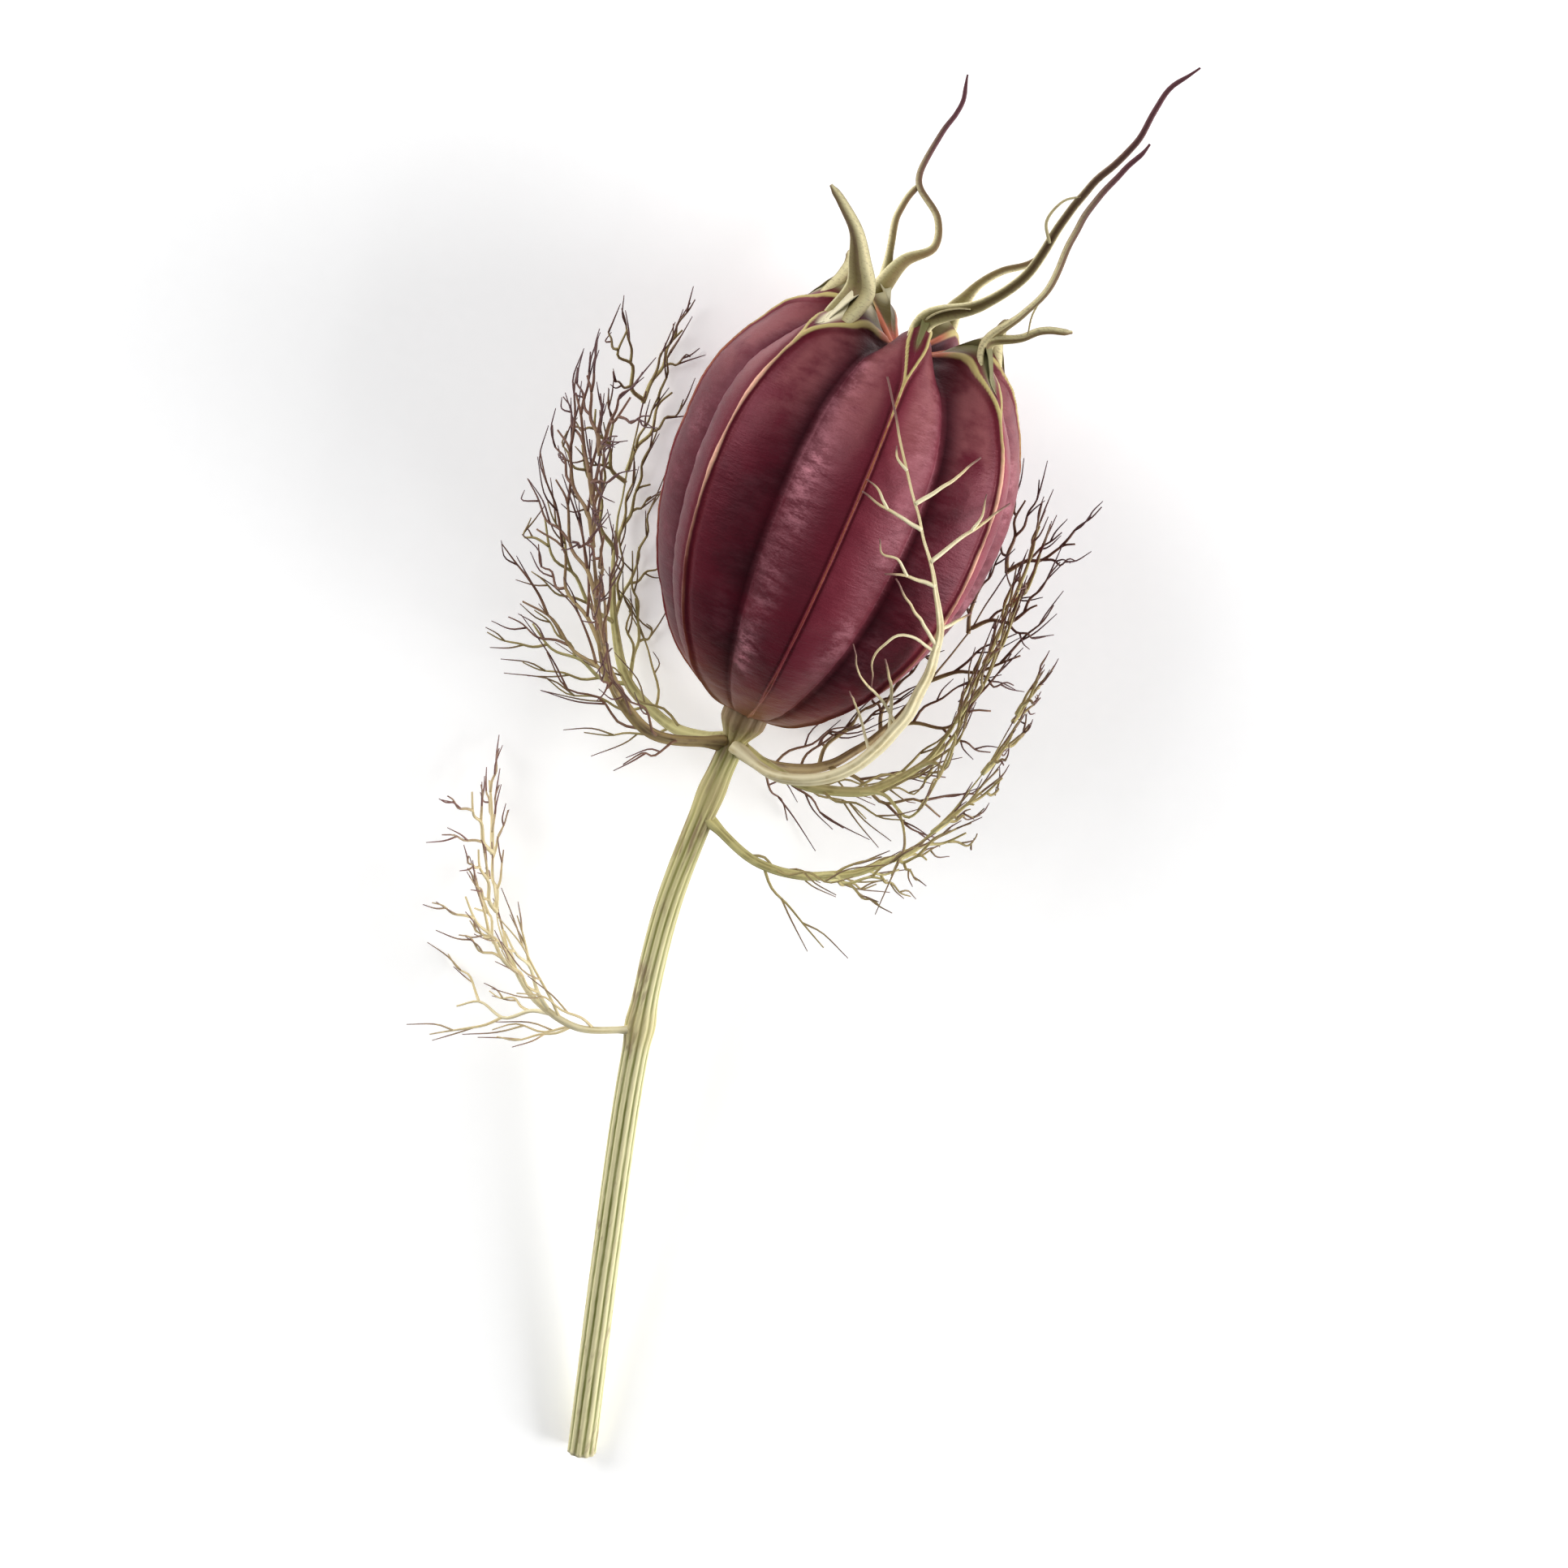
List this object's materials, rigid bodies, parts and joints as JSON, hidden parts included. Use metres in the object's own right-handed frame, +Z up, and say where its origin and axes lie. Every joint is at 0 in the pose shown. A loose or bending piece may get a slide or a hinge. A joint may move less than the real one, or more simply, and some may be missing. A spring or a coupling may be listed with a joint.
{
  "type": "nigella seed pod",
  "caption": "Dried love-in-a-mist seed pod as picked: ribbed inflated capsule with long styles, thread-like bracts and a short cut stem, lying on its side.",
  "frame": {"origin": "on the surface that the pod lies on, under the middle of its bounding box", "axes": "+Y from the cut stem towards the crown of styles, +X to the right seen from above with the crown ahead, +Z up from the surface"},
  "size_m": [0.0342, 0.0958, 0.024],
  "materials": {
    "pod_skin": "satin papery skin, burgundy with a pink bloom",
    "stem_skin": "dry ridged straw, yellow-green",
    "bract_cream": "dry thread, cream with olive",
    "bract_brown": "dry thread, olive to purple-brown"
  },
  "bodies": {
    "root": {"pod": "pod_skin", "stem": "stem_skin", "bract_1": "bract_cream", "bract_2": "bract_cream", "bract_3": "bract_brown", "bract_4": "bract_brown", "bract_5": "bract_brown", "stem_leaf_1": "bract_cream", "stem_leaf_2": "bract_cream"}
  },
  "joints": []
}
